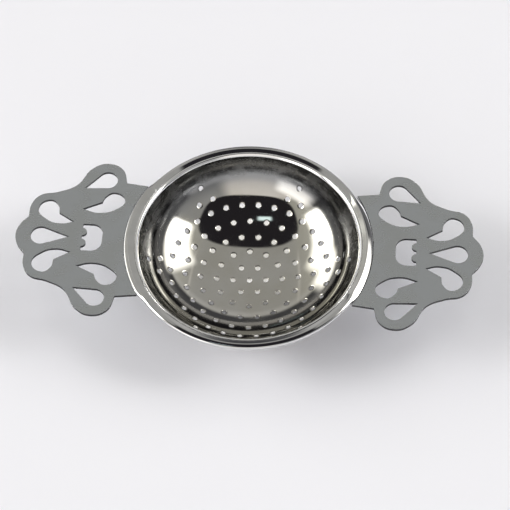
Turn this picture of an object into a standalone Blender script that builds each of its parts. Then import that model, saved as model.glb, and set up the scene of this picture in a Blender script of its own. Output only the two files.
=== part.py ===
"""Two-handled tea strainer: a perforated drawn bowl in a rolled rim, with a pierced flat handle on each side.

Frame: origin on the surface under the middle of the bowl, +X along the right handle, +Z up. Metres.
"""
import math

import bmesh
import bpy
from mathutils import Matrix, Vector

MM = 0.001

# Driving dimensions
SHEET = 0.6 * MM                    # thickness of the drawn sheet
GAP = 0.3 * MM                      # clearance between neighbouring pieces
BOWL_RADIUS = 35.8 * MM             # inner radius at the lip
BOWL_DEPTH = 21.0 * MM              # inner depth below the handles' top face
HANDLE_TOP = BOWL_DEPTH + SHEET     # height of the handles' top face
TURN_STEPS = 60                     # facets around every turned piece

# Lip of the bowl
LIP_BEAD = 0.55 * MM
LIP_BEAD_Z = HANDLE_TOP - 0.1 * MM
LIP_OUTER = BOWL_RADIUS + 2 * LIP_BEAD
LIP_FLANGE_END = LIP_OUTER + 1.0 * MM

# Rolled rim: a flat flange that is rounded at its inner edge and ends in a bead
RIM_INNER = LIP_OUTER + GAP
RIM_ROUND = 0.5 * MM
RIM_BEAD = 0.85 * MM
RIM_BEAD_R = 39.1 * MM
RIM_BEAD_Z = HANDLE_TOP - 0.6 * MM
RIM_TOP = RIM_BEAD_Z + RIM_BEAD

# Saddles and handles
SADDLE_HALF_ANGLE = math.radians(38)
SADDLE_WALL = 0.35 * MM
SADDLE_INNER = RIM_BEAD + GAP       # the saddle's inside wraps the bead between these two angles
SADDLE_TOP_DEG = 100
SADDLE_LOW_DEG = -15
SADDLE_OUT_R = RIM_BEAD_R + SADDLE_INNER + SADDLE_WALL
SADDLE_IN_R = 38.35 * MM
SADDLE_EDGE = 0.9 * MM              # radius of the outer edge, which starts at this slope
SADDLE_EDGE_DEG = 22
SADDLE_CROWN = 8.5 * MM             # radius of the gently sloping top
SADDLE_LOW_Z = RIM_BEAD_Z + SADDLE_INNER * math.sin(math.radians(SADDLE_LOW_DEG))
HANDLE_THICK = 0.9 * MM
HANDLE_ROOT_R = SADDLE_OUT_R + GAP
HANDLE_ROOT_DEG = 31.8              # half of the angle that the handle's root spans
SEAM_RADIUS = 0.45 * MM
SEAM_R = HANDLE_ROOT_R - SEAM_RADIUS - 0.05 * MM
SEAM_Z = SADDLE_LOW_Z - GAP - SEAM_RADIUS

# Straining holes, counted outwards from the middle
HOLE_RADIUS = 0.85 * MM
HOLE_SIDES = 6
RING_PITCH = 5.45 * MM              # spacing of the rings, measured along the bowl's surface
FULL_RINGS = 5                      # ring k has 6 k holes
PAIR_RING_ARC = 31.6 * MM           # a pair of holes on each of six spokes
PAIR_HALF_ANGLE = math.radians(5)
POINT_RING_ARC = 36.6 * MM          # one hole at the tip of each spoke
SPOKES = 6
PATTERN_TURN = math.radians(3)      # the punched pattern sits slightly turned to the handles

COLLECTION = "tea_strainer"


def clear_scene():
    for obj in list(bpy.data.objects):
        bpy.data.objects.remove(obj, do_unlink=True)


def make_collection(name):
    collection = bpy.data.collections.new(name)
    bpy.context.scene.collection.children.link(collection)
    return collection


def metal(name, colour, roughness):
    material = bpy.data.materials.new(name)
    material.use_nodes = True
    shader = material.node_tree.nodes["Principled BSDF"]
    shader.inputs["Base Color"].default_value = (*colour, 1.0)
    shader.inputs["Roughness"].default_value = roughness
    shader.inputs["Metallic"].default_value = 1.0
    return material


def add_object(collection, name, data, material=None):
    obj = bpy.data.objects.new(name, data)
    collection.objects.link(obj)
    if material is not None:
        data.materials.append(material)
    return obj


def arc(centre_a, centre_b, radius, start, end, count):
    """Points on an arc from angle start to end, in degrees, ends included."""
    points = []
    for step in range(count + 1):
        angle = math.radians(start + (end - start) * step / count)
        points.append((centre_a + radius * math.cos(angle), centre_b + radius * math.sin(angle)))
    return points


def turned(collection, name, profile, closed, material):
    """A turned piece. The profile is (radius, height) points that run down its outer side."""
    mesh = bpy.data.meshes.new(name)
    edges = [(i, i + 1) for i in range(len(profile) - 1)]
    if closed:
        edges.append((len(profile) - 1, 0))
    mesh.from_pydata([(radius, 0.0, height) for radius, height in profile], edges, [])
    obj = add_object(collection, name, mesh, material)
    screw = obj.modifiers.new("Turn", "SCREW")
    screw.axis = "Z"
    screw.steps = TURN_STEPS
    screw.render_steps = TURN_STEPS
    screw.use_merge_vertices = True
    screw.merge_threshold = 0.00001
    return obj


def ellipse_side(radius, depth, start, end, count):
    """Points on a bowl-shaped half ellipse, by its angle from the bottom in degrees."""
    points = []
    for step in range(count + 1):
        angle = math.radians(start + (end - start) * step / count)
        points.append((radius * math.sin(angle), HANDLE_TOP - depth * math.cos(angle)))
    return points


def surface_point(arc_length):
    """Point of the bowl's middle surface at a distance along it from the bottom, and its outward tilt."""
    radius = BOWL_RADIUS + SHEET / 2
    depth = BOWL_DEPTH + SHEET / 2
    angle = 0.0
    travelled = 0.0
    step = math.radians(0.05)
    while travelled < arc_length:
        travelled += math.hypot(radius * math.cos(angle), depth * math.sin(angle)) * step
        angle += step
    tilt = math.atan2(depth * math.sin(angle), radius * math.cos(angle))
    return radius * math.sin(angle), HANDLE_TOP - depth * math.cos(angle), tilt


def hole_layout():
    """(distance along the surface, angle around the axis) of every straining hole."""
    layout = [(0.0, 0.0)]
    for ring in range(1, FULL_RINGS + 1):
        for hole in range(6 * ring):
            layout.append((ring * RING_PITCH, math.tau * hole / (6 * ring)))
    for spoke in range(SPOKES):
        spoke_angle = math.tau * spoke / SPOKES
        layout.append((PAIR_RING_ARC, spoke_angle - PAIR_HALF_ANGLE))
        layout.append((PAIR_RING_ARC, spoke_angle + PAIR_HALF_ANGLE))
        layout.append((POINT_RING_ARC, spoke_angle))
    return layout


def hole_punches(collection):
    """One mesh of short prisms, each square to the bowl's surface."""
    bm = bmesh.new()
    for arc_length, around in hole_layout():
        radius, height, tilt = surface_point(arc_length)
        turn = Matrix.Rotation(around + PATTERN_TURN, 4, "Z")
        place = turn @ Matrix.Translation((radius, 0.0, height)) @ Matrix.Rotation(-tilt, 4, "Y")
        bmesh.ops.create_cone(bm, cap_ends=True, segments=HOLE_SIDES, radius1=HOLE_RADIUS,
                              radius2=HOLE_RADIUS, depth=4 * SHEET, matrix=place)
    mesh = bpy.data.meshes.new("hole_punches")
    bm.to_mesh(mesh)
    bm.free()
    punches = add_object(collection, "hole_punches", mesh)
    punches.hide_render = True
    punches.display_type = "WIRE"
    return punches


def strainer_bowl(collection, cutters):
    profile = ellipse_side(BOWL_RADIUS, BOWL_DEPTH, 0, 88, 9)
    profile += arc(BOWL_RADIUS + LIP_BEAD, LIP_BEAD_Z, LIP_BEAD, 180, 0, 4)
    profile += [(LIP_OUTER, RIM_BEAD_Z - GAP), (LIP_FLANGE_END, RIM_BEAD_Z - GAP),
                (LIP_FLANGE_END, RIM_BEAD_Z - GAP - SHEET)]
    profile += ellipse_side(BOWL_RADIUS + SHEET, BOWL_DEPTH + SHEET, 86, 0, 9)
    bowl = turned(collection, "strainer_bowl", profile, False, metal("bowl_metal", (0.78, 0.77, 0.75), 0.08))
    punch = bowl.modifiers.new("Holes", "BOOLEAN")
    punch.object = hole_punches(cutters)
    return bowl


def rim_ring(collection):
    profile = [(RIM_INNER, RIM_TOP - SHEET)]
    profile += arc(RIM_INNER + RIM_ROUND, RIM_TOP - RIM_ROUND, RIM_ROUND, 180, 90, 3)
    profile += arc(RIM_BEAD_R, RIM_BEAD_Z, RIM_BEAD, 90, -190, 10)
    return turned(collection, "rim_ring", profile, True, metal("rim_metal", (0.75, 0.75, 0.75), 0.1))


def saddle_section():
    """Closed section: a sloping top, a rounded outer edge, a straight side, and the inside along the bead."""
    slope = math.radians(SADDLE_EDGE_DEG)
    edge_r = SADDLE_OUT_R - SADDLE_EDGE
    crown_r = edge_r - (SADDLE_CROWN - SADDLE_EDGE) * math.sin(slope)
    over_bead = math.sqrt(SADDLE_CROWN ** 2 - (RIM_BEAD_R - crown_r) ** 2)
    crown_z = RIM_TOP + GAP + SADDLE_WALL - over_bead
    edge_z = crown_z + (SADDLE_CROWN - SADDLE_EDGE) * math.cos(slope)
    start = math.degrees(math.acos((SADDLE_IN_R - crown_r) / SADDLE_CROWN))
    section = arc(crown_r, crown_z, SADDLE_CROWN, start, 90 - SADDLE_EDGE_DEG, 3)
    section += arc(edge_r, edge_z, SADDLE_EDGE, 90 - SADDLE_EDGE_DEG, 0, 4)[1:]
    section += [(SADDLE_OUT_R, SADDLE_LOW_Z)]
    section += arc(RIM_BEAD_R, RIM_BEAD_Z, SADDLE_INNER, SADDLE_LOW_DEG, SADDLE_TOP_DEG, 5)
    return section + [(SADDLE_IN_R, RIM_TOP + GAP)]


def saddle(collection, side, facing):
    """Strip that hugs the rim's bead, turned about the strainer's axis through part of a circle."""
    section = saddle_section()
    bm = bmesh.new()
    corners = [bm.verts.new((radius, 0.0, height)) for radius, height in section]
    edges = [bm.edges.new((corners[i - 1], corners[i])) for i in range(len(corners))]
    start = Matrix.Rotation(-SADDLE_HALF_ANGLE, 3, "Z")
    bmesh.ops.rotate(bm, verts=corners, cent=(0, 0, 0), matrix=start)
    bmesh.ops.spin(bm, geom=corners + edges, cent=(0, 0, 0), axis=(0, 0, 1),
                   angle=2 * SADDLE_HALF_ANGLE, steps=16, use_merge=False)
    open_edges = [edge for edge in bm.edges if edge.is_boundary]
    bmesh.ops.holes_fill(bm, edges=open_edges, sides=0)
    bmesh.ops.recalc_face_normals(bm, faces=bm.faces)
    mesh = bpy.data.meshes.new(side + "_saddle")
    bm.to_mesh(mesh)
    bm.free()
    obj = add_object(collection, side + "_saddle", mesh, metal(side + "_saddle_metal", (0.7, 0.7, 0.7), 0.15))
    obj.rotation_euler.z = facing
    return obj


# Outline of one handle's upper half, from the root to the tip: x, y in millimetres and "corner" or "round"
HALF_OUTLINE = [
    (41.6, 22.3, "corner"), (43.6, 27.8, "round"), (48.6, 29.9, "round"), (53.5, 27.8, "round"),
    (58.3, 20.5, "round"), (64.0, 17.6, "round"), (69.8, 15.9, "round"), (72.3, 12.2, "round"),
    (72.7, 7.3, "corner"), (75.2, 3.9, "round"),
]
TIP = (76.2, 0.0, "round")

# Cut-outs of the upper half that have a notch and a curled tail
INNER_COMMA = [
    (55.3, 11.2, "corner"), (49.9, 9.9, "round"), (44.2, 11.7, "round"), (41.7, 15.2, "round"),
    (45.2, 18.2, "round"), (48.2, 16.4, "round"), (49.1, 14.2, "corner"), (51.8, 12.9, "round"),
]
OUTER_COMMA = [
    (57.6, 6.0, "corner"), (59.4, 7.1, "round"), (62.8, 9.2, "corner"), (63.4, 12.3, "round"),
    (66.3, 14.2, "round"), (69.8, 10.8, "round"), (66.6, 6.4, "round"), (62.0, 5.0, "round"),
]
EAR_DROP = {"centre": (48.1, 23.15), "radius": 3.2, "tip": (55.5, 19.6)}
TIP_DROP = {"centre": (67.9, 0.0), "radius": 3.35, "tip": (58.6, 0.0)}


def bezier_outline(curve, points):
    spline = curve.splines.new("BEZIER")
    spline.bezier_points.add(len(points) - 1)
    for knot, (x, y, kind) in zip(spline.bezier_points, points):
        knot.co = (x * MM, y * MM, 0.0)
        knot.handle_left_type = knot.handle_right_type = "VECTOR" if kind == "corner" else "AUTO"
    spline.use_cyclic_u = True
    spline.resolution_u = 3


def straight_outline(curve, points, closed=True):
    spline = curve.splines.new("POLY")
    spline.points.add(len(points) - 1)
    for point, (x, y) in zip(spline.points, points):
        point.co = (x * MM, y * MM, 0.0, 1.0)
    spline.use_cyclic_u = closed


def teardrop(centre, radius, tip, count=12):
    """A round end with two straight sides that meet at the tip."""
    away = Vector(centre) - Vector(tip)
    spread = 90 + math.degrees(math.asin(radius / away.length))
    heading = math.degrees(math.atan2(away.y, away.x))
    return [tip] + arc(centre[0], centre[1], radius, heading - spread, heading + spread, count)


def scalloped_window():
    """D-shaped window whose straight side carries two round bumps."""
    right, left, half_height, corner, bump = 54.5, 47.8, 5.2, 3.5, 1.5
    upper = arc(right, 2.15, bump, 270, 90, 6)
    upper += [(right, half_height - 0.5), (right - 0.5, half_height)]
    upper += arc(left + corner, half_height - corner, corner, 90, 180, 5)
    return upper + mirrored(reversed(upper))


def mirrored(points):
    """The same outline on the lower half."""
    return [(x, -y, *kind) for x, y, *kind in points]


def handle_root():
    """Corner knots of the concave end that follows the rim, from the lower side to the upper."""
    end = arc(0.0, 0.0, HANDLE_ROOT_R / MM, -HANDLE_ROOT_DEG, HANDLE_ROOT_DEG, 16)
    return [(x, y, "corner") for x, y in end]


def handle(collection, side, facing):
    curve = bpy.data.curves.new(side + "_handle", "CURVE")
    curve.dimensions = "2D"
    curve.fill_mode = "BOTH"
    curve.extrude = HANDLE_THICK / 2
    bezier_outline(curve, HALF_OUTLINE + [TIP] + mirrored(reversed(HALF_OUTLINE)) + handle_root())
    for comma in (INNER_COMMA, OUTER_COMMA):
        bezier_outline(curve, comma)
        bezier_outline(curve, mirrored(comma))
    ear = teardrop(**EAR_DROP)
    for outline in (ear, mirrored(ear), teardrop(**TIP_DROP), scalloped_window()):
        straight_outline(curve, outline)
    sheet_metal = metal(side + "_handle_metal", (0.45, 0.46, 0.46), 0.35)
    obj = add_object(collection, side + "_handle", curve, sheet_metal)
    obj.location.z = HANDLE_TOP - HANDLE_THICK / 2
    obj.rotation_euler.z = facing
    return obj


def solder_seam(collection, side, facing):
    """Bead in the corner under the saddle, along the root of the handle."""
    curve = bpy.data.curves.new(side + "_solder_seam", "CURVE")
    curve.dimensions = "3D"
    curve.bevel_depth = SEAM_RADIUS
    curve.bevel_resolution = 2
    curve.use_fill_caps = True
    reach = HANDLE_ROOT_DEG - 1.5
    straight_outline(curve, arc(0.0, 0.0, SEAM_R / MM, -reach, reach, 16), closed=False)
    obj = add_object(collection, side + "_solder_seam", curve,
                     metal(side + "_solder", (0.6, 0.6, 0.58), 0.3))
    obj.location.z = SEAM_Z
    obj.rotation_euler.z = facing
    return obj


def main():
    clear_scene()
    parts = make_collection(COLLECTION)
    cutters = make_collection("cutters")
    strainer_bowl(parts, cutters)
    rim_ring(parts)
    for side, facing in (("right", 0.0), ("left", math.pi)):
        saddle(parts, side, facing)
        handle(parts, side, facing)
        solder_seam(parts, side, facing)


main()
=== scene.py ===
"""Looks of the two-handled tea strainer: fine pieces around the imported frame, metals, light and camera.

Shapes are worked out in millimetres and turned into metres when a mesh is made. The origin is on the surface
under the middle of the bowl, +X runs along the right handle and +Z up.
"""
import math

import bmesh
import bpy
import numpy as np
from mathutils import Matrix, Vector, geometry, noise


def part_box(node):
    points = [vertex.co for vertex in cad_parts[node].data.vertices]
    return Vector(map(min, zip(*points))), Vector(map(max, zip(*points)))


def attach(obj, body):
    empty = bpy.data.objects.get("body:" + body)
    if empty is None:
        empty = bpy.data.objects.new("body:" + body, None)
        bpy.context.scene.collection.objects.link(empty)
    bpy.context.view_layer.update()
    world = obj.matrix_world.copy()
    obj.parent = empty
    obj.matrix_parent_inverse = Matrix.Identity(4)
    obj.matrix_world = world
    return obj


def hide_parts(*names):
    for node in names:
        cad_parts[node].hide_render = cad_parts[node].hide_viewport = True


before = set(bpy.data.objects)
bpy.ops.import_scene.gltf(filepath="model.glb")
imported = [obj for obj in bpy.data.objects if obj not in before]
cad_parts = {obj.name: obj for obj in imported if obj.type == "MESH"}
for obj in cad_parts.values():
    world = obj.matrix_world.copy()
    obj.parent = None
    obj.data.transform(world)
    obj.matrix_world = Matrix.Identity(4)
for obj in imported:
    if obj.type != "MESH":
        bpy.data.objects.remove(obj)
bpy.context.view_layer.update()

MM = 0.001
scene = bpy.context.scene


def top_of(node):
    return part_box(node)[1].z / MM


def reach_of(node):
    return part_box(node)[1].x / MM


# Heights and reaches that the frame gives
HANDLE_TOP = top_of("right_handle")
RIM_TOP = top_of("rim_ring")
RIM_REACH = reach_of("rim_ring")
SADDLE_REACH = reach_of("right_saddle")
SEAM_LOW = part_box("right_solder_seam")[0].z / MM

TURN_STEPS = 240                    # facets around every turned piece

# Drawn bowl: its middle surface is half an ellipsoid
SHEET = 0.6
MID_RADIUS = 36.1
MID_DEPTH = 21.3
ARC_SAMPLES = 6001
WALL_STOP = 1.1                     # from the wall's end to the ellipsoid's mouth, along the surface

# Lip: an inner round, a curved sweep and a narrow facet lead up to a sharp outer corner
LIP_REACH = 36.95
LIP_TOP = HANDLE_TOP + 0.45
LIP_START_DEG = 176.0               # direction that the profile faces: 0 outwards, 90 up, 180 to the axis
LIP_INNER_ROUND = 0.35
LIP_SWEEP_ROUND = 2.5
LIP_SWEEP_DEG = (58.0, 38.0)        # slopes at the sweep's lower and upper end
LIP_FACET = 0.28
LIP_FACET_DEG = 13.0
LIP_FACET_ROUND = 0.3
LIP_CORNER = 0.06

# Flange under the rim, which hides it
FLANGE_Z = HANDLE_TOP - 0.9
FLANGE_REACH = 37.9
FLANGE_CORNER = 0.05
FLANGE_FILLET = 0.2                 # above, beside the lip
FLANGE_UNDER_FILLET = 0.3           # below, beside the bowl
WALL_CLEARANCE = 0.05               # from the under fillet to the first row of the outer wall

# Straining holes
HOLE_RADIUS = 0.85
HOLE_SIDES = 20
RING_PITCH = 5.45                   # spacing of the rings, measured along the surface
FULL_RINGS = 5                      # ring k has 6 k holes
PAIR_ARC = 31.6                     # a pair of holes on each of six spokes
PAIR_HALF_ANGLE = math.radians(5)
POINT_ARC = 36.6                    # one hole at the tip of each spoke
SPOKES = 6
PATTERN_TURN = math.radians(3)
DISH_DEPTH = 0.07
DISH_WIDTH = 0.4
DISH_RINGS = (0.0, 0.08, 0.2, DISH_WIDTH)   # rings of points around a hole: distance from its edge
DISH_EDGE_SLOPE = 0.95              # slope of the shading at the upper edge of a hole
BURR = 0.05
BURR_SHOULDER = 0.8                 # height at the second ring, as a share of the burr's
BURR_SLOPES = (1.0, -0.35)          # slopes of the shading at the first and second ring
HOLE_TIGHTEN = 0.03                 # how much narrower a hole is between its two edges
HOLE_WALL_ENDS = (0.05, 0.03)       # from the dish and from the underside to the ends of the hole's wall
PUNCHED_TO = 38.8                   # distance along the surface where the plain wall starts
GRID = 1.15                         # spacing of the mesh between the holes
GRID_CLEARANCE = 0.4
SAME_POINT = 0.00001                # nearer points would count as one in the triangulation

# Rolled rim: rises from its foot beside the lip to a crest, then falls to the outer bead
RIM_IN = 37.05
RIM_CREST_Z = RIM_TOP + 0.45
RIM_CREST_R = 38.5
RIM_CREST_ROUND = 0.7
RIM_RISE_DEG = 17.5
RIM_FALL_DEG = 14.5
RIM_BEAD = 1.0
RIM_CURL_DEG = -190.0               # direction that the bead faces where its curl ends, underneath
RIM_FOOT_ROUND = 0.12
RIM_FOOT_HEIGHT = 0.45
RIM_FOOT_CORNER = (0.3, 0.1)

# Saddles
SADDLE_STEPS = 120
SADDLE_HALF_ANGLE = math.radians(38)
SADDLE_TAPER = {"right": math.radians(14), "left": math.radians(9)}     # over this angle an end runs out
SADDLE_THIN = 0.02                  # share of the thickness that is left at the ends
SADDLE_LIFT = 0.02                  # clearance over the bead
SADDLE_IN = 37.12
SADDLE_INNER_ROUND = 0.06
SADDLE_CREST_ROUND = 0.5
SADDLE_EDGE = 0.6
SADDLE_FOOT = SEAM_LOW + 1.3
SADDLE_FOOT_CORNER = 0.1
SADDLE_SHARP = math.radians(40)
SADDLE_SHAPE = {                    # crest (r, z), slopes in degrees: up to the crest, after it, at the edge
    "right": (38.55, RIM_CREST_Z + 0.30, 21.0, 26.0, 36.0),
    "left": (38.50, RIM_CREST_Z + 0.07, 13.0, 6.0, 17.0),
}

# Handles
HANDLE_THICK = 0.9
HANDLE_ROOT = SADDLE_REACH + 0.08
HANDLE_ROOT_DEG = 31.8
EDGE_ROUND = 0.06
OUTLINE_STEPS = 14                  # facets between two knots of an outline
WELD = 0.002                        # points nearer than this are merged
FACE_UPRIGHT = 0.8                  # a normal more upright than this belongs to a face, not to an edge

# Solder beads
SOLDER_INSET = 0.25                 # from the handle's root to the middle of the bead
SOLDER_SHORT_DEG = 1.5              # how far from the ends of the root the bead ends
SOLDER_STEPS = 150
SOLDER_SIDES = 14
SOLDER_SIZE = 0.9                   # mean radius, as a share of the frame's seam
SOLDER_LUMPS = 0.16
SOLDER_LUMP_RATE = 22
SOLDER_END_POWER = 24               # the higher, the blunter are the bead's ends
SOLDER_END_LEAST = 0.02


# Meshes

def mesh_piece(name, points, faces, material, normals=None):
    """A smooth mesh object from points in millimetres, with its own normals if they are known exactly."""
    mesh = bpy.data.meshes.new(name)
    mesh.from_pydata((np.asarray(points) * MM).tolist(), [], faces)
    bm = bmesh.new()
    bm.from_mesh(mesh)
    bmesh.ops.recalc_face_normals(bm, faces=bm.faces)
    bm.to_mesh(mesh)
    bm.free()
    mesh.shade_smooth()
    if normals is not None:
        mesh.normals_split_custom_set_from_vertices(np.asarray(normals).tolist())
    mesh.materials.append(material)
    obj = bpy.data.objects.new(name, mesh)
    scene.collection.objects.link(obj)
    return obj


def hand_over(obj, slot, *nodes):
    """Rides the piece on the frame in place of its CAD nodes."""
    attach(obj, "root")
    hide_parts(*nodes)


def arc(centre_r, centre_z, radius, start, end, count):
    """(r, z, normal r, normal z) along an arc; angles in degrees, 0 outwards and 90 up."""
    rows = []
    for step in range(count + 1):
        angle = math.radians(start + (end - start) * step / count)
        across, up = math.cos(angle), math.sin(angle)
        rows.append((centre_r + radius * across, centre_z + radius * up, across, up))
    return rows


def arc_before(rows, run, radius, start, end, count):
    """Arc that turns into a straight run of the given length, which leads to the first of the rows.

    Without a run the arc ends on the first row, which is then left out as a repeat.
    """
    turn = math.radians(end)
    end_r = rows[0][0] - run * math.sin(turn)
    end_z = rows[0][1] + run * math.cos(turn)
    curve = arc(end_r - radius * math.cos(turn), end_z - radius * math.sin(turn), radius, start, end, count)
    return curve + (rows if run else rows[1:])


def turned_rows(rows, steps):
    """Points and normals of a profile turned about the axis, row by row."""
    profile = np.array(rows, float)
    around = np.arange(steps) * math.tau / steps
    cos, sin = np.cos(around), np.sin(around)
    points = np.stack([np.outer(profile[:, 0], cos), np.outer(profile[:, 0], sin),
                       np.repeat(profile[:, 1:2], steps, 1)], -1)
    normals = np.stack([np.outer(profile[:, 2], cos), np.outer(profile[:, 2], sin),
                        np.repeat(profile[:, 3:4], steps, 1)], -1)
    return points.reshape(-1, 3), normals.reshape(-1, 3)


def band(lower, upper):
    """Quads between two closed rows of vertex numbers."""
    count = len(lower)
    return [(lower[i], lower[(i + 1) % count], upper[(i + 1) % count], upper[i]) for i in range(count)]


def tube_faces(steps, width):
    """Faces of a closed tube: steps + 1 sections of width points each, with a cap at both ends."""
    sections = [range(step * width, (step + 1) * width) for step in range(steps + 1)]
    faces = []
    for lower, upper in zip(sections, sections[1:]):
        faces += band(lower, upper)
    return faces + [tuple(sections[0]), tuple(sections[-1])]


# Drawn bowl

def arc_table():
    """Ellipse angle of the middle surface against the distance along it from the bottom."""
    angle = np.linspace(0, math.pi / 2, ARC_SAMPLES)
    speed = np.hypot(MID_RADIUS * np.cos(angle), MID_DEPTH * np.sin(angle))
    travelled = np.concatenate([[0], np.cumsum((speed[1:] + speed[:-1]) / 2 * np.diff(angle))])
    return travelled, angle


ARC_LENGTH, ARC_ANGLE = arc_table()


def middle_surface(distance):
    """Radius, height and slope of the bowl's middle surface at distances along it."""
    angle = np.interp(distance, ARC_LENGTH, ARC_ANGLE)
    slope = np.arctan2(MID_DEPTH * np.sin(angle), MID_RADIUS * np.cos(angle))
    return MID_RADIUS * np.sin(angle), HANDLE_TOP - MID_DEPTH * np.cos(angle), slope


def sheet_points(plane, offset):
    """Bowl points and normals for points of the plane, raised by offset.

    A plane point's radius is its distance along the surface from the bottom.
    """
    distance = np.hypot(plane[:, 0], plane[:, 1])
    around = np.arctan2(plane[:, 1], plane[:, 0])
    radius, height, slope = middle_surface(distance)
    lean = -np.sin(slope)
    inward = np.stack([lean * np.cos(around), lean * np.sin(around), np.cos(slope)], 1)
    middle = np.stack([radius * np.cos(around), radius * np.sin(around), height], 1)
    return middle + inward * offset[:, None], inward


def hole_layout():
    """(distance along the surface, angle around the axis) of every straining hole."""
    layout = [(0.0, 0.0)]
    for ring in range(1, FULL_RINGS + 1):
        for hole in range(6 * ring):
            layout.append((ring * RING_PITCH, math.tau * hole / (6 * ring)))
    for spoke in range(SPOKES):
        spoke_angle = math.tau * spoke / SPOKES
        layout.append((PAIR_ARC, spoke_angle - PAIR_HALF_ANGLE))
        layout.append((PAIR_ARC, spoke_angle + PAIR_HALF_ANGLE))
        layout.append((POINT_ARC, spoke_angle))
    return [(distance, around + PATTERN_TURN) for distance, around in layout]


def hole_ring(distance, around, radius):
    """Plane points of a circle on the surface about a hole's centre."""
    turn = np.arange(HOLE_SIDES) * math.tau / HOLE_SIDES
    surface_radius = middle_surface(distance)[0]
    widen = distance / surface_radius if distance > 0 else 1.0
    out = np.array((math.cos(around), math.sin(around)))
    side = np.array((-out[1], out[0]))
    local = np.outer(np.cos(turn), out) + np.outer(np.sin(turn) * widen, side)
    return out * distance + local * radius


def hole_directions(distance, around):
    """Directions in space from a hole's centre to its edge, along the surface."""
    turn = np.arange(HOLE_SIDES) * math.tau / HOLE_SIDES
    slope = middle_surface(distance)[2]
    level = math.cos(slope)
    out = np.array((level * math.cos(around), level * math.sin(around), math.sin(slope)))
    side = np.array((-math.sin(around), math.cos(around), 0.0))
    return np.outer(np.cos(turn), out) + np.outer(np.sin(turn), side)


def punched_plane():
    """Triangulates the punched part of the sheet in the plane.

    Returns the points, the triangles, and for each point the hole that it rings (-1 if none), its distance
    from that hole's edge, and the number of its ring.
    """
    spread = np.array(DISH_RINGS)
    layout = hole_layout()
    boundary_turn = np.arange(TURN_STEPS) * math.tau / TURN_STEPS
    points = [np.stack([np.cos(boundary_turn), np.sin(boundary_turn)], 1) * PUNCHED_TO]
    edges = band_edges(0, TURN_STEPS)
    owner, step = [np.full(TURN_STEPS, -1)], [np.zeros(TURN_STEPS, int)]
    count = TURN_STEPS
    for number, (distance, around) in enumerate(layout):
        for index, away in enumerate(spread):
            points.append(hole_ring(distance, around, HOLE_RADIUS + away))
            owner.append(np.full(HOLE_SIDES, number))
            step.append(np.full(HOLE_SIDES, index))
            edges += band_edges(count, HOLE_SIDES)
            count += HOLE_SIDES
    centres = np.array([(d * math.cos(a), d * math.sin(a)) for d, a in layout])
    filler = []
    for ring in range(1, int(PUNCHED_TO / GRID)):
        around = math.tau * (np.arange(6 * ring) + 0.5 * (ring % 2)) / (6 * ring)
        filler.append(np.stack([np.cos(around), np.sin(around)], 1) * ring * GRID)
    filler = np.concatenate(filler)
    nearest = np.min(np.hypot(*(filler[:, None] - centres[None]).transpose(2, 0, 1)), 1)
    filler = filler[nearest > HOLE_RADIUS + DISH_WIDTH + GRID_CLEARANCE]
    points.append(filler)
    owner.append(np.full(len(filler), -1))
    step.append(np.zeros(len(filler), int))
    points, owner, step = np.concatenate(points), np.concatenate(owner), np.concatenate(step)
    made = geometry.delaunay_2d_cdt([Vector(p) for p in points], edges, [], 0, SAME_POINT)
    if len(made[0]) != len(points):
        raise ValueError("the punched sheet's triangulation merged or split points")
    rim = np.where((owner >= 0) & (step == 0), owner, -1)
    number_of = [ids[0] for ids in made[3]]
    faces = [tuple(number_of[v] for v in face) for face in made[2]]
    faces = [f for f in faces if rim[f[0]] < 0 or not rim[f[0]] == rim[f[1]] == rim[f[2]]]
    return points, faces, owner, spread[step] * (owner >= 0), step


def band_edges(start, count):
    return [(start + i, start + (i + 1) % count) for i in range(count)]


def lip_rows():
    """Profile from the punched sheet's inner side, over the lip and its hidden flange, to the outer side."""
    wall_end = ARC_LENGTH[-1] - WALL_STOP
    inner, outer = [], []
    for distance in np.linspace(PUNCHED_TO, wall_end, 9)[1:]:
        radius, height, slope = middle_surface(distance)
        across, up = math.sin(slope), math.cos(slope)
        inner.append((radius - SHEET / 2 * across, height + SHEET / 2 * up, -across, up))
        outer.append((radius + SHEET / 2 * across, height - SHEET / 2 * up, across, -up))
    steep, mild, facet = 90 + LIP_SWEEP_DEG[0], 90 + LIP_SWEEP_DEG[1], 90 + LIP_FACET_DEG
    lip = arc(LIP_REACH - LIP_CORNER, LIP_TOP - LIP_CORNER, LIP_CORNER, facet, 0, 5)
    lip = arc_before(lip, LIP_FACET, LIP_FACET_ROUND, mild, facet, 5)
    lip = arc_before(lip, 0.0, LIP_SWEEP_ROUND, steep, mild, 8)
    rows = inner + arc_before(lip, 0.0, LIP_INNER_ROUND, LIP_START_DEG, steep, 5)
    rows += arc(LIP_REACH + FLANGE_FILLET, FLANGE_Z + FLANGE_FILLET, -FLANGE_FILLET, 0, 90, 4)
    corner_r = FLANGE_REACH - FLANGE_CORNER
    rows += arc(corner_r, FLANGE_Z - FLANGE_CORNER, FLANGE_CORNER, 90, 0, 2)
    rows += arc(corner_r, FLANGE_Z - SHEET + FLANGE_CORNER, FLANGE_CORNER, 0, -90, 2)
    rows += arc(MID_RADIUS + SHEET / 2 + FLANGE_UNDER_FILLET, FLANGE_Z - SHEET - FLANGE_UNDER_FILLET,
                -FLANGE_UNDER_FILLET, -90, -180, 5)
    wall_top = FLANGE_Z - SHEET - FLANGE_UNDER_FILLET - WALL_CLEARANCE
    return rows + [row for row in reversed(outer) if row[1] < wall_top]


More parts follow.
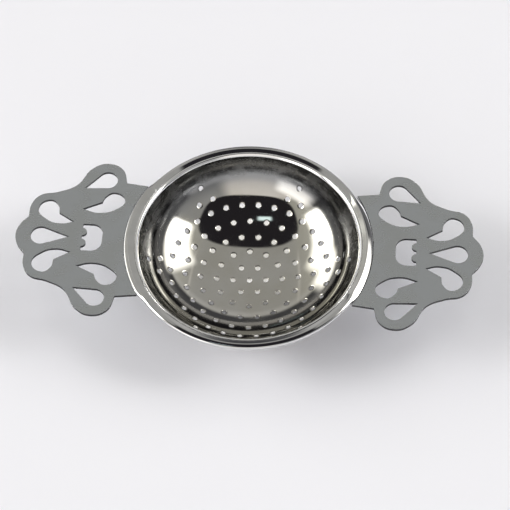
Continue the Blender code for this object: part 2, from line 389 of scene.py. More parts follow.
def punched_skins(plane, owner, away, step):
    """Points and normals of the punched sheet's two sides: dished holes on the inner, burrs on the outer.

    The middle hole has no burr, because the bowl would stand on it.
    """
    ringed = owner >= 0
    reach = np.clip(1 - away / DISH_WIDTH, 0, 1)
    dish = np.where(ringed, DISH_DEPTH * reach ** 2, 0.0)
    dish_slope = np.where(ringed, 2 * DISH_DEPTH / DISH_WIDTH * reach, 0.0)
    dish_slope[ringed & (step == 0)] = DISH_EDGE_SLOPE
    burr = np.where((owner > 0) & (step == 0), BURR, 0.0)
    burr[(owner > 0) & (step == 1)] = BURR_SHOULDER * BURR
    burr_slope = np.where(ringed & (step == 0), BURR_SLOPES[0], 0.0)
    burr_slope[ringed & (step == 1)] = BURR_SLOPES[1]
    top, inward = sheet_points(plane, SHEET / 2 - dish)
    under, _ = sheet_points(plane, -SHEET / 2 - burr)
    outwards = np.zeros((len(plane), 3))
    for number, (distance, around) in enumerate(hole_layout()):
        for ring in range(len(DISH_RINGS)):
            outwards[(owner == number) & (step == ring)] = hole_directions(distance, around)
    top_normals = inward - outwards * dish_slope[:, None]
    under_normals = -inward - outwards * burr_slope[:, None]
    return [top, under], [top_normals, under_normals]


def strainer_bowl(material):
    """The punched sheet's two sides, the walls of its holes, and the lip that joins the sides."""
    plane, triangles, owner, away, step = punched_plane()
    count = len(plane)
    points, normals = punched_skins(plane, owner, away, step)
    faces = list(triangles) + [tuple(v + count for v in reversed(face)) for face in triangles]
    total = 2 * count
    wall_heights = (SHEET / 2 - DISH_DEPTH - HOLE_WALL_ENDS[0], -SHEET / 2 + HOLE_WALL_ENDS[1])
    for number, (distance, around) in enumerate(hole_layout()):
        edge = np.flatnonzero((owner == number) & (step == 0))
        inside = hole_ring(distance, around, HOLE_RADIUS - HOLE_TIGHTEN)
        rows = [list(edge)]
        for height in wall_heights:
            points.append(sheet_points(inside, np.full(HOLE_SIDES, height))[0])
            normals.append(-hole_directions(distance, around))
            rows.append(list(range(total, total + HOLE_SIDES)))
            total += HOLE_SIDES
        rows.append(list(edge + count))
        for lower, upper in zip(rows, rows[1:]):
            faces += band(lower, upper)
    lip_points, lip_normals = turned_rows(lip_rows(), TURN_STEPS)
    points.append(lip_points)
    normals.append(lip_normals)
    rows = [list(range(TURN_STEPS))]
    for start in range(total, total + len(lip_points), TURN_STEPS):
        rows.append(list(range(start, start + TURN_STEPS)))
    rows.append(list(range(count, count + TURN_STEPS)))
    for lower, upper in zip(rows, rows[1:]):
        faces += band(lower, upper)
    normals = np.concatenate(normals)
    normals /= np.linalg.norm(normals, axis=1)[:, None]
    faces = [tuple(int(v) for v in face) for face in faces]
    bowl = mesh_piece("strainer_bowl_drawn", np.concatenate(points), faces, material, normals)
    hand_over(bowl, "bowl_metal", "strainer_bowl")


# Rolled rim, saddles and solder

def rim_ring(material):
    """Rises gently from the bowl's lip to a rounded crest, then falls into the outer bead."""
    rise, fall = math.radians(RIM_RISE_DEG), math.radians(RIM_FALL_DEG)
    crest = arc(RIM_CREST_R, RIM_CREST_Z - RIM_CREST_ROUND, RIM_CREST_ROUND,
                90 + RIM_RISE_DEG, 90 - RIM_FALL_DEG, 12)
    bead_r = RIM_REACH - RIM_BEAD
    fall_run = bead_r + RIM_BEAD * math.sin(fall) - crest[-1][0]
    bead_z = crest[-1][1] - fall_run * math.tan(fall) - RIM_BEAD * math.cos(fall)
    foot_r = RIM_IN + RIM_FOOT_ROUND
    rise_run = crest[0][0] - (foot_r - RIM_FOOT_ROUND * math.sin(rise))
    foot_z = crest[0][1] - rise_run * math.tan(rise) - RIM_FOOT_ROUND * math.cos(rise)
    rows = arc(foot_r, foot_z, RIM_FOOT_ROUND, 180, 90 + RIM_RISE_DEG, 4) + crest
    rows += arc(bead_r, bead_z, RIM_BEAD, 90 - RIM_FALL_DEG, RIM_CURL_DEG, 36)
    corner_r, corner_z = RIM_FOOT_CORNER
    rows.append((RIM_IN + corner_r, foot_z - RIM_FOOT_HEIGHT, 0.0, -1.0))
    rows.append((RIM_IN, foot_z - RIM_FOOT_HEIGHT + corner_z, -0.7, -0.7))
    points, normals = turned_rows(rows, TURN_STEPS)
    rings = [list(range(i * TURN_STEPS, (i + 1) * TURN_STEPS)) for i in range(len(rows))]
    faces = []
    for lower, upper in zip(rings, rings[1:] + rings[:1]):
        faces += band(lower, upper)
    ring = mesh_piece("rim_ring_rolled", points, faces, material, normals)
    hand_over(ring, "rim_metal", "rim_ring")


def saddle_section(crest_r, crest_z, rise, fall, edge_fall):
    """Outer side of the saddle, (r, z) from its inner edge beside the lip, over a crest, to its foot."""
    rows = arc(crest_r, crest_z - SADDLE_CREST_ROUND, SADDLE_CREST_ROUND, 90 + rise, 90 - fall, 10)
    sine_in, sine_out = math.sin(math.radians(fall)), math.sin(math.radians(edge_fall))
    start_r, start_z = rows[-1][0], rows[-1][1]
    crown = (SADDLE_REACH - SADDLE_EDGE * (1 - sine_out) - start_r) / (sine_out - sine_in)
    rows += arc(start_r - crown * sine_in, start_z - crown * math.cos(math.radians(fall)), crown,
                90 - fall, 90 - edge_fall, 10)[1:]
    edge_z = rows[-1][1] - SADDLE_EDGE * math.cos(math.radians(edge_fall))
    rows += arc(SADDLE_REACH - SADDLE_EDGE, edge_z, SADDLE_EDGE, 90 - edge_fall, 0, 8)[1:]
    tilt = math.radians(rise)
    run = (rows[0][0] - SADDLE_IN - SADDLE_INNER_ROUND * (1 - math.sin(tilt))) / math.cos(tilt)
    rows = arc_before(rows, run, SADDLE_INNER_ROUND, 180, 90 + rise, 4)
    foot = [(SADDLE_REACH - inset, SADDLE_FOOT - inset) for inset in (0.0, SADDLE_FOOT_CORNER)]
    return [(row[0], row[1]) for row in rows] + foot


def saddle(side, facing, material):
    """Strip over the rim's bead whose ends run out thin against the bead."""
    outer = np.array(saddle_section(*SADDLE_SHAPE[side]))
    bead = np.array((RIM_REACH - RIM_BEAD, RIM_CREST_Z - RIM_BEAD))
    toward = outer - bead
    length = np.hypot(*toward.T)[:, None]
    inner = bead + toward / length * (RIM_BEAD + SADDLE_LIFT)
    points = []
    for step in range(SADDLE_STEPS + 1):
        angle = SADDLE_HALF_ANGLE * (2 * step / SADDLE_STEPS - 1)
        left = min((SADDLE_HALF_ANGLE - abs(angle)) / SADDLE_TAPER[side], 1.0)
        fullness = SADDLE_THIN + (1 - SADDLE_THIN) * left * left * (3 - 2 * left)
        skin = inner + (outer - inner) * fullness
        section = np.concatenate([skin, inner[::-1]])
        spin = angle + facing
        radius, height = section.T
        points.append(np.stack([radius * math.cos(spin), radius * math.sin(spin), height], 1))
    faces = tube_faces(SADDLE_STEPS, len(points[0]))
    strip = mesh_piece(side + "_saddle_formed", np.concatenate(points), faces, material)
    strip.data.set_sharp_from_angle(angle=SADDLE_SHARP)
    flatten = strip.modifiers.new("Even faces", "WEIGHTED_NORMAL")
    flatten.weight = 100
    flatten.keep_sharp = True
    hand_over(strip, "saddle_metal", side + "_saddle")


def solder_seam(side, facing, material):
    """Uneven bead of solder in the corner under the saddle."""
    low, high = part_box(side + "_solder_seam")
    bead_z = (low.z + high.z) / 2 / MM
    bead_radius = (high.z - low.z) / 2 / MM
    bead_r = HANDLE_ROOT - SOLDER_INSET
    reach = math.radians(HANDLE_ROOT_DEG - SOLDER_SHORT_DEG)
    points = []
    for step in range(SOLDER_STEPS + 1):
        along = 2 * step / SOLDER_STEPS - 1
        angle = reach * along
        end = math.sqrt(max(SOLDER_END_LEAST, 1 - abs(along) ** SOLDER_END_POWER))
        for corner in range(SOLDER_SIDES):
            turn = math.tau * corner / SOLDER_SIDES
            spot = Vector((angle * SOLDER_LUMP_RATE, math.cos(turn), math.sin(turn) + facing))
            radius = bead_radius * end * (SOLDER_SIZE + SOLDER_LUMPS * noise.noise(spot))
            r = bead_r + radius * math.cos(turn)
            spin = angle + facing
            points.append((r * math.cos(spin), r * math.sin(spin), bead_z + radius * math.sin(turn)))
    faces = tube_faces(SOLDER_STEPS, SOLDER_SIDES)
    bead = mesh_piece(side + "_solder_bead", points, faces, material)
    hand_over(bead, "solder", side + "_solder_seam")


# Handles: x, y in millimetres and "corner" or "round", upper half, from the root to the tip
HALF_OUTLINE = [
    (41.6, 22.3, "corner"), (43.6, 27.8, "round"), (48.6, 29.9, "round"), (53.5, 27.8, "round"),
    (58.3, 20.5, "round"), (64.0, 17.6, "round"), (69.8, 15.9, "round"), (72.3, 12.2, "round"),
    (72.7, 7.3, "corner"), (75.2, 3.9, "round"),
]
TIP = (76.2, 0.0, "round")
INNER_COMMA = [
    (55.3, 11.2, "corner"), (49.9, 9.9, "round"), (44.2, 11.7, "round"), (41.7, 15.2, "round"),
    (45.2, 18.2, "round"), (48.2, 16.4, "round"), (49.1, 14.2, "corner"), (51.8, 12.9, "round"),
]
OUTER_COMMA = [
    (57.6, 6.0, "corner"), (59.4, 7.1, "round"), (62.8, 9.2, "corner"), (63.4, 12.3, "round"),
    (66.3, 14.2, "round"), (69.8, 10.8, "round"), (66.6, 6.4, "round"), (62.0, 5.0, "round"),
]
EAR_DROP = {"centre": (48.1, 23.15), "radius": 3.2, "tip": (55.5, 19.6)}
TIP_DROP = {"centre": (67.9, 0.0), "radius": 3.35, "tip": (58.6, 0.0)}


def bezier_outline(curve, points):
    spline = curve.splines.new("BEZIER")
    spline.bezier_points.add(len(points) - 1)
    for knot, (x, y, kind) in zip(spline.bezier_points, points):
        knot.co = (x * MM, y * MM, 0.0)
        knot.handle_left_type = knot.handle_right_type = "VECTOR" if kind == "corner" else "AUTO"
    spline.use_cyclic_u = True
    spline.resolution_u = OUTLINE_STEPS


def straight_outline(curve, points):
    spline = curve.splines.new("POLY")
    spline.points.add(len(points) - 1)
    for point, (x, y) in zip(spline.points, points):
        point.co = (x * MM, y * MM, 0.0, 1.0)
    spline.use_cyclic_u = True


def circle_part(centre, radius, start, end, count):
    return [(row[0], row[1]) for row in arc(centre[0], centre[1], radius, start, end, count)]


def teardrop(centre, radius, tip):
    """A round end with two straight sides that meet at the tip."""
    away = Vector(centre) - Vector(tip)
    spread = 90 + math.degrees(math.asin(radius / away.length))
    heading = math.degrees(math.atan2(away.y, away.x))
    return [tip] + circle_part(centre, radius, heading - spread, heading + spread, 48)


def mirrored(points):
    """The same outline on the lower half."""
    return [(x, -y, *kind) for x, y, *kind in points]


def scalloped_window():
    """D-shaped window whose straight side carries two round bumps."""
    right, left, half_height, corner, small_corner = 54.5, 47.8, 5.2, 3.5, 0.5
    bump, bump_y = 1.5, 2.15
    upper = circle_part((right, bump_y), bump, 270, 90, 20)
    upper += circle_part((right - small_corner, half_height - small_corner), small_corner, 0, 90, 4)
    upper += circle_part((left + corner, half_height - corner), corner, 90, 180, 18)
    return upper + mirrored(reversed(upper))


def plate_mesh(side, facing):
    """The pierced plate with rounded edges, made from its outlines and put in its place."""
    curve = bpy.data.curves.new(side + "_outline", "CURVE")
    curve.dimensions = "2D"
    curve.fill_mode = "BOTH"
    curve.extrude = (HANDLE_THICK / 2 - EDGE_ROUND) * MM
    curve.bevel_depth = EDGE_ROUND * MM
    curve.bevel_resolution = 2
    curve.offset = -EDGE_ROUND * MM
    root = [(*point, "corner") for point in
            circle_part((0.0, 0.0), HANDLE_ROOT, -HANDLE_ROOT_DEG, HANDLE_ROOT_DEG, 48)]
    bezier_outline(curve, HALF_OUTLINE + [TIP] + mirrored(reversed(HALF_OUTLINE)) + root)
    for comma in (INNER_COMMA, OUTER_COMMA):
        bezier_outline(curve, comma)
        bezier_outline(curve, mirrored(comma))
    ear = teardrop(**EAR_DROP)
    for outline in (ear, mirrored(ear), teardrop(**TIP_DROP), scalloped_window()):
        straight_outline(curve, outline)
    guide = bpy.data.objects.new(side + "_outline", curve)
    scene.collection.objects.link(guide)
    bpy.context.view_layer.update()
    mesh = bpy.data.meshes.new_from_object(guide.evaluated_get(bpy.context.evaluated_depsgraph_get()))
    bpy.data.objects.remove(guide, do_unlink=True)
    lift = Matrix.Translation((0, 0, (HANDLE_TOP - HANDLE_THICK / 2) * MM))
    mesh.transform(Matrix.Rotation(facing, 4, "Z") @ lift)
    bm = bmesh.new()
    bm.from_mesh(mesh)
    bmesh.ops.remove_doubles(bm, verts=bm.verts, dist=WELD * MM)
    bmesh.ops.recalc_face_normals(bm, faces=bm.faces)
    bm.to_mesh(mesh)
    bm.free()
    return mesh


def handle(side, facing, face_metal, edge_metal):
    mesh = plate_mesh(side, facing)
    mesh.name = side + "_handle_pierced"
    mesh.materials.clear()
    mesh.materials.append(face_metal)
    mesh.materials.append(edge_metal)
    mesh.shade_smooth()
    for polygon in mesh.polygons:
        polygon.material_index = 1 if abs(polygon.normal.z) < FACE_UPRIGHT else 0
    plate = bpy.data.objects.new(mesh.name, mesh)
    scene.collection.objects.link(plate)
    flatten = plate.modifiers.new("Flat faces", "WEIGHTED_NORMAL")
    flatten.weight = 100
    hand_over(plate, "handle_metal", side + "_handle")


# Materials. gloss and dull are the roughness of wiped and of dull patches, relief is in metres.
MICRON = 0.000001
BOWL_STEEL = {"light": (0.60, 0.59, 0.56, 1), "dark": (0.56, 0.545, 0.50, 1), "gloss": 0.035, "dull": 0.085,
              "relief": 8 * MICRON}
RIM_STEEL = {"light": (0.69, 0.69, 0.69, 1), "dark": (0.62, 0.62, 0.62, 1), "gloss": 0.02, "dull": 0.05,
             "relief": 6 * MICRON}
SADDLE_STEEL = {"light": (0.70, 0.70, 0.70, 1), "dark": (0.62, 0.62, 0.61, 1), "gloss": 0.06, "dull": 0.13,
                "relief": 14 * MICRON}
PLATE_LIGHT, PLATE_DARK = (0.555, 0.58, 0.605, 1), (0.52, 0.54, 0.55, 1)
PLATE_SPOT = (0.44, 0.46, 0.475, 1)
# The plate's cut edges are painted near black: painted shade along the edges.
EDGE_SHADE_DARK, EDGE_SHADE_LIGHT = (0.03, 0.03, 0.033, 1), (0.075, 0.075, 0.08, 1)
SOLDER_LIGHT, SOLDER_DARK = (0.62, 0.62, 0.60, 1), (0.40, 0.39, 0.37, 1)

# The bowl's walls are toned to stand in for what they reflect in the photograph. Each pair of heights or of
# places along X, in metres, is where one tone gives way to the next.
WALL_LEFT, WALL_MIDDLE, WALL_RIGHT = (0.26, 0.265, 0.275, 1), (0.38, 0.385, 0.39, 1), (0.17, 0.172, 0.178, 1)
WALL_LEFT_ENDS = (-16 * MM, -6 * MM)
WALL_RIGHT_STARTS = (6 * MM, 18 * MM)
WALL_RISE = (9 * MM, 14.5 * MM)
WALL_SHARE = 0.92
# The lip is painted brighter than the rest of the steel: a painted sheen.
LIP_SHEEN = (0.93, 0.93, 0.93, 1)      # the lip
LIP_SHEEN_STARTS = (20.8 * MM, 21.3 * MM)
WALL_HAZE = 4.5                     # how many times rougher the walls are than the bottom
HAZE_STARTS = (10 * MM, 17 * MM)
HAZE_ENDS = (20.5 * MM, 21 * MM)


def add_node(tree, kind, inputs=(), **settings):
    """Adds a node. inputs maps an input's name or number to a value or to another node's output."""
    made = tree.nodes.new("ShaderNode" + kind)
    for name, value in settings.items():
        setattr(made, name, value)
    for key, value in dict(inputs).items():
        if isinstance(value, bpy.types.NodeSocket):
            tree.links.new(value, made.inputs[key])
        else:
            made.inputs[key].default_value = value
    return made


def calculate(tree, operation, *values):
    return add_node(tree, "Math", enumerate(values), operation=operation).outputs[0]


def ramp(tree, value, low, high, out_low, out_high):
    """Smooth passage from one number to another."""
    made = add_node(tree, "MapRange", {0: value, 1: low, 2: high, 3: out_low, 4: out_high},
                    interpolation_type="SMOOTHSTEP")
    return made.outputs[0]


def blend(tree, factor, first, second):
    """Mixes two colours."""
    made = add_node(tree, "Mix", {0: factor, 6: first, 7: second}, data_type="RGBA")
    return made.outputs[2]


def grain(tree, vector, scale, detail=3.0, rough=0.55):
    settings = {"Vector": vector, "Scale": scale, "Detail": detail, "Roughness": rough}
    return add_node(tree, "TexNoise", settings).outputs[0]


def add_relief(tree, shader, height, strength, distance):
    bump = add_node(tree, "Bump", {"Height": height, "Strength": strength, "Distance": distance})
    tree.links.new(bump.outputs[0], shader.inputs["Normal"])


def new_material(name):
    material = bpy.data.materials.new(name)
    material.use_nodes = True
    tree = material.node_tree
    shader = tree.nodes["Principled BSDF"]
    shader.inputs["Metallic"].default_value = 1.0
    place = add_node(tree, "TexCoord").outputs["Object"]
    return material, tree, shader, place


def circular_place(tree, place, along, across):
    """Coordinates that run around the axis, stretched by along, and away from it, stretched by across."""
    apart = add_node(tree, "SeparateXYZ", {0: place}).outputs
    radius = calculate(tree, "SQRT", calculate(tree, "ADD", calculate(tree, "MULTIPLY", apart[0], apart[0]),
                                               calculate(tree, "MULTIPLY", apart[1], apart[1])))
    distance = add_node(tree, "VectorMath", {0: place}, operation="LENGTH").outputs[1]
    turn_x = calculate(tree, "MULTIPLY", calculate(tree, "DIVIDE", apart[0], radius), along)
    turn_y = calculate(tree, "MULTIPLY", calculate(tree, "DIVIDE", apart[1], radius), along)
    out = calculate(tree, "MULTIPLY", distance, across)
    return add_node(tree, "CombineXYZ", {0: turn_x, 1: turn_y, 2: out}).outputs[0]


def painted_reflection_tone(tree, side, height, tone):
    """Painted reflection: darkens the bowl's walls up to the lip, differently on the left, middle and right,
    and brightens the lip as a painted sheen.
    """
    wall = blend(tree, ramp(tree, side, *WALL_LEFT_ENDS, 0.0, 1.0), WALL_LEFT, WALL_MIDDLE)
    wall = blend(tree, ramp(tree, side, *WALL_RIGHT_STARTS, 0.0, 1.0), wall, WALL_RIGHT)
    tone = blend(tree, ramp(tree, height, *WALL_RISE, 0.0, WALL_SHARE), tone, wall)
    return blend(tree, ramp(tree, height, *LIP_SHEEN_STARTS, 0.0, 1.0), tone, LIP_SHEEN)


def wall_haze(tree, height):
    """How many times rougher the bowl is at a height: hazy on its walls, clear on its bottom and lip."""
    return calculate(tree, "SUBTRACT", ramp(tree, height, *HAZE_STARTS, 1.0, WALL_HAZE),
                     ramp(tree, height, *HAZE_ENDS, 0.0, WALL_HAZE - 1.0))


def drawn_steel(name, light, dark, gloss, dull, relief, walls=False):
    """Polished sheet with fine lines around the axis, faint stains and wiped patches.

    With walls, it is darker and hazier on the bowl's walls than on the bottom and the lip; the darker walls
    are a painted reflection and the bright lip a painted sheen.
    """
    material, tree, shader, place = new_material(name)
    stains = grain(tree, place, 70.0, 4.0)
    lines = grain(tree, circular_place(tree, place, 1.2, 5200.0), 1.0, 2.0)
    patches = grain(tree, place, 170.0, 3.0)
    tone = blend(tree, ramp(tree, stains, 0.35, 0.68, 0.0, 1.0), light, dark)
    wiped = ramp(tree, patches, 0.35, 0.75, gloss, dull)
    rough = calculate(tree, "MULTIPLY", wiped, ramp(tree, lines, 0.3, 0.7, 0.8, 1.25))
    if walls:
        side, _, height = add_node(tree, "SeparateXYZ", {0: place}).outputs
        # Painted reflection on the walls and painted sheen on the lip
        tone = painted_reflection_tone(tree, side, height, tone)
        rough = calculate(tree, "MULTIPLY", rough, wall_haze(tree, height))
    tree.links.new(tone, shader.inputs["Base Color"])
    tree.links.new(rough, shader.inputs["Roughness"])
    waves = grain(tree, place, 130.0, 1.0)
    surface = calculate(tree, "ADD", calculate(tree, "MULTIPLY", lines, 0.05), waves)
    add_relief(tree, shader, surface, 1.0, relief)
    return material


def satin_plate(name):
    """Flat sheet with a fine grain along X, faint stains and small darker spots."""
    material, tree, shader, place = new_material(name)
    stretched = add_node(tree, "Mapping", {"Vector": place, "Scale": (90.0, 4200.0, 90.0)}).outputs[0]
    brushed = grain(tree, stretched, 1.0, 3.0)
    stains = grain(tree, place, 95.0, 4.0)
    spots = grain(tree, place, 420.0, 2.0)
    cool = blend(tree, ramp(tree, stains, 0.38, 0.66, 0.0, 1.0), PLATE_LIGHT, PLATE_DARK)
    tone = blend(tree, ramp(tree, spots, 0.62, 0.78, 0.0, 0.35), cool, PLATE_SPOT)
    tree.links.new(tone, shader.inputs["Base Color"])
    stained = ramp(tree, stains, 0.3, 0.7, 0.19, 0.27)
    rough = calculate(tree, "ADD", stained, calculate(tree, "MULTIPLY", brushed, 0.06))
    tree.links.new(rough, shader.inputs["Roughness"])
    add_relief(tree, shader, brushed, 0.35, 4 * MICRON)
    return material


def sheared_edge(name):
    """Cut edge of the plate, painted near black as a painted shade along the edges, with fine marks across
    the thickness.
    """
    material, tree, shader, place = new_material(name)
    stretched = add_node(tree, "Mapping", {"Vector": place, "Scale": (3200.0, 3200.0, 250.0)}).outputs[0]
    marks = grain(tree, stretched, 1.0, 2.0)
    tree.links.new(blend(tree, marks, EDGE_SHADE_DARK, EDGE_SHADE_LIGHT), shader.inputs["Base Color"])
    tree.links.new(ramp(tree, marks, 0.3, 0.7, 0.28, 0.45), shader.inputs["Roughness"])
    add_relief(tree, shader, marks, 0.4, 20 * MICRON)
    return material


def solder_metal(name):
    """Dull grey bead with ripples and a few bright spots."""
    material, tree, shader, place = new_material(name)
    ripples = grain(tree, place, 1500.0, 4.0)
    spots = grain(tree, place, 600.0, 2.0)
    tone = blend(tree, ramp(tree, spots, 0.35, 0.65, 0.0, 1.0), SOLDER_LIGHT, SOLDER_DARK)
    tree.links.new(tone, shader.inputs["Base Color"])
    tree.links.new(ramp(tree, spots, 0.3, 0.7, 0.24, 0.48), shader.inputs["Roughness"])
    add_relief(tree, shader, ripples, 0.6, 60 * MICRON)
    return material


# Floor, light and camera

FLOOR_HALF = 2.5
CARD_COLOURS = (0.83, 0.835, 0.89, 1), (0.85, 0.855, 0.91, 1)
GLOW = (1.0, 0.97, 0.88, 1.0)       # weak light on the floor under the bowl, seen through its holes
GLOW_CENTRE = (0.0, 11 * MM, 0.0)
GLOW_FADE = (10 * MM, 26 * MM)      # distances from its centre
GLOW_STRENGTH = 0.42

# Sky: radiances, with zenith angles in degrees from 0 overhead to 90 at the horizon
SKY_MIDDLE, SKY_SIDES = (0.43, 0.425, 0.405, 1), (0.545, 0.535, 0.48, 1)
SKY_SEAM = (0.66, 0.64, 0.60, 1)
SKY_LOW, SKY_BAND = (0.62, 0.61, 0.59, 1), (0.075, 0.075, 0.08, 1)
SKY_FRONT_HIGH, SKY_FRONT_LOW = (0.90, 0.86, 0.82, 1), (0.72, 0.71, 0.71, 1)
SKY_HORIZON = (1.5, 1.5, 1.55, 1)
OPENING = (0.024, 0.022, 0.026, 1)
OPENING_MIDDLE = (1.0, -15.5)
OPENING_HALF = (37.0, 25.5)
OPENING_POWER = 3.0                 # 2 would make its outline an ellipse
GLINT = (1.3, 1.6, 1.65, 1)         # small bright patch inside the opening
BACKDROP = (0.84, 0.84, 0.86, 1)
SIDE_PATCHES = [                    # three dim screens, then soft boxes, two of them with a hot middle
    # side, from and to in degrees towards the back, zenith from and to, soft widths of both, radiance
    ("right", -62, -8, 38, 74, 8, 4, (0.38, 0.38, 0.38, 1)),
    ("right", -25, 60, 71, 100, 8, 3, (0.16, 0.16, 0.165, 1)),
    ("left", -20, 60, 71, 100, 8, 3, (0.19, 0.19, 0.195, 1)),
    ("left", -19, 36, 46.5, 70, 6, 4, (3.0, 2.95, 2.7, 1)),
    ("left", -19, 8, 50, 68, 5, 4, (13.5, 13.3, 12.9, 1)),
    ("right", -3, 41, 41.5, 69, 5, 4, (3.0, 2.95, 2.8, 1)),
    ("right", -3, 14, 45, 67, 5, 4, (11.5, 11.3, 10.9, 1)),
    ("left", 20, 46, 60, 74, 6, 4, (3.0, 2.95, 2.8, 1)),
    ("left", -64, -30, 56, 77, 6, 5, (2.3, 2.25, 2.2, 1)),
]


def floor():
    """Pale card under the strainer."""
    mesh = bpy.data.meshes.new("floor")
    corners = [(x * FLOOR_HALF, y * FLOOR_HALF, 0.0) for x, y in ((-1, -1), (1, -1), (1, 1), (-1, 1))]
    mesh.from_pydata(corners, [], [(0, 1, 2, 3)])
    material, tree, shader, place = new_material("pale_card")
    shader.inputs["Metallic"].default_value = 0.0
    tree.links.new(blend(tree, grain(tree, place, 9.0, 2.0), *CARD_COLOURS), shader.inputs["Base Color"])
    away = add_node(tree, "VectorMath", {0: place, 1: GLOW_CENTRE}, operation="DISTANCE").outputs[1]
    shader.inputs["Emission Color"].default_value = GLOW
    tree.links.new(ramp(tree, away, *GLOW_FADE, GLOW_STRENGTH, 0.0), shader.inputs["Emission Strength"])
    shader.inputs["Roughness"].default_value = 0.8
    shader.inputs["Specular IOR Level"].default_value = 0.2
    add_relief(tree, shader, grain(tree, place, 900.0), 0.08, 200 * MICRON)
    mesh.materials.append(material)
    obj = bpy.data.objects.new("floor", mesh)
    scene.collection.objects.link(obj)


def patch(tree, across, down, left, right, low, high, soft_across, soft_down):
    """1 inside a rectangle of the two coordinates, falling to 0 within the soft widths of its edges."""
    inside = calculate(tree, "MULTIPLY", ramp(tree, across, left - soft_across, left + soft_across, 0.0, 1.0),
                       ramp(tree, across, right - soft_across, right + soft_across, 1.0, 0.0))
    between = calculate(tree, "MULTIPLY", ramp(tree, down, low - soft_down, low + soft_down, 0.0, 1.0),
                        ramp(tree, down, high - soft_down, high + soft_down, 1.0, 0.0))
    return calculate(tree, "MULTIPLY", inside, between)


def opening_term(tree, value, middle, half):
    """Share of one coordinate in the opening's outline, a rectangle with very round corners."""
    away = calculate(tree, "DIVIDE", calculate(tree, "SUBTRACT", value, middle), half)
    return calculate(tree, "POWER", calculate(tree, "ABSOLUTE", away), OPENING_POWER)


def tent(tree, across, back, zenith):
    """Walls and roof of the tent, without its soft boxes."""
    aside = calculate(tree, "ABSOLUTE", across)
    colour = blend(tree, ramp(tree, aside, 24.0, 44.0, 0.0, 1.0), SKY_MIDDLE, SKY_SIDES)
    seam = patch(tree, aside, zenith, 31.0, 32.4, 36, 66, 0.8, 3)
    colour = blend(tree, seam, colour, SKY_SEAM)
    colour = blend(tree, ramp(tree, zenith, 58.0, 63.0, 0.0, 0.6), colour, SKY_LOW)
    colour = blend(tree, ramp(tree, zenith, 63.5, 67.0, 0.0, 1.0), colour, SKY_BAND)
    front = blend(tree, ramp(tree, zenith, 60.0, 74.0, 0.0, 1.0), SKY_FRONT_HIGH, SKY_FRONT_LOW)
    return blend(tree, ramp(tree, back, -42.0, -33.0, 1.0, 0.0), colour, front)


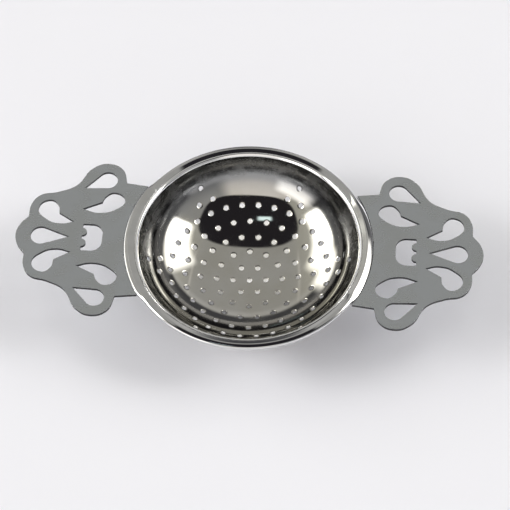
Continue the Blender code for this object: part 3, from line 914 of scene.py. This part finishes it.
def studio_sky():
    """Grey tent with a dark band low down, soft boxes on both sides and a dark opening overhead and in front.

    across and back map the sky flat, in degrees from the zenith to the right and to the back of the object.
    The camera sees a plain backdrop in place of all this.
    """
    world = bpy.data.worlds.new("studio_sky")
    scene.world = world
    world.use_nodes = True
    tree = world.node_tree
    x, y, z = add_node(tree, "SeparateXYZ", {0: add_node(tree, "TexCoord").outputs["Generated"]}).outputs
    zenith = calculate(tree, "DEGREES", calculate(tree, "ARCCOSINE", z))
    just_over_one = 1.0001          # keeps the root above zero straight overhead
    cosine_squared = calculate(tree, "MULTIPLY", z, z)
    sine = calculate(tree, "SQRT", calculate(tree, "SUBTRACT", just_over_one, cosine_squared))
    stretch = calculate(tree, "DIVIDE", zenith, sine)
    across = calculate(tree, "MULTIPLY", x, stretch)
    back = calculate(tree, "MULTIPLY", y, stretch)
    colour = tent(tree, across, back, zenith)
    leftward = calculate(tree, "MULTIPLY", x, -1.0)
    turns = {"left": calculate(tree, "DEGREES", calculate(tree, "ARCTAN2", y, leftward)),
             "right": calculate(tree, "DEGREES", calculate(tree, "ARCTAN2", y, x))}
    for side, start, end, low, high, soft_turn, soft_down, radiance in SIDE_PATCHES:
        inside = patch(tree, turns[side], zenith, start, end, low, high, soft_turn, soft_down)
        colour = blend(tree, inside, colour, radiance)
    colour = blend(tree, ramp(tree, zenith, 81.5, 85.0, 0.0, 1.0), colour, SKY_HORIZON)
    outline = calculate(tree, "ADD", opening_term(tree, across, OPENING_MIDDLE[0], OPENING_HALF[0]),
                        opening_term(tree, back, OPENING_MIDDLE[1], OPENING_HALF[1]))
    colour = blend(tree, ramp(tree, outline, 0.90, 1.10, 1.0, 0.0), colour, OPENING)
    glint = patch(tree, across, back, -15.5, -6.0, -16.3, -12.7, 1.6, 1.0)
    colour = blend(tree, glint, colour, GLINT)
    seen = add_node(tree, "LightPath").outputs["Is Camera Ray"]
    colour = blend(tree, seen, colour, BACKDROP)
    tree.links.new(colour, tree.nodes["Background"].inputs["Color"])


def camera():
    """Camera above the front of the object, set so that its outline fits the photograph's."""
    elevation = 0.975588886
    azimuth = -0.0849340
    roll = 0.0236202
    distance = 800.0
    aside, above = 2.12415, -3.35523
    right = Vector((math.cos(azimuth), -math.sin(azimuth), 0))
    rise, level = math.sin(elevation), math.cos(elevation)
    up = Vector((math.sin(azimuth) * rise, math.cos(azimuth) * rise, level))
    back = Vector((-math.sin(azimuth) * level, -math.cos(azimuth) * level, rise))
    rolled_right = right * math.cos(roll) - up * math.sin(roll)
    rolled_up = right * math.sin(roll) + up * math.cos(roll)
    data = bpy.data.cameras.new("camera")
    data.lens = 173.83
    data.sensor_width = 36.0
    data.clip_start = 0.05
    data.clip_end = 20.0
    obj = bpy.data.objects.new("camera", data)
    place = back * distance + rolled_right * aside + rolled_up * above + Vector((0, 0, HANDLE_TOP))
    pose = Matrix((rolled_right, rolled_up, back)).transposed().to_4x4()
    pose.translation = place * MM
    obj.matrix_world = pose
    scene.collection.objects.link(obj)
    scene.camera = obj


def main():
    camera()
    strainer_bowl(drawn_steel("bowl_steel", **BOWL_STEEL, walls=True))
    rim_ring(drawn_steel("rim_steel", **RIM_STEEL))
    saddle_steel = drawn_steel("saddle_steel", **SADDLE_STEEL)
    plate_steel = satin_plate("plate_steel")
    edge_steel = sheared_edge("sheared_steel")
    solder = solder_metal("soft_solder")
    for side, facing in (("right", 0.0), ("left", math.pi)):
        saddle(side, facing, saddle_steel)
        handle(side, facing, plate_steel, edge_steel)
        solder_seam(side, facing, solder)
    floor()
    studio_sky()
    scene.view_settings.view_transform = "Standard"
    scene.cycles.use_denoising = True
    scene.cycles.glossy_bounces = 10


main()
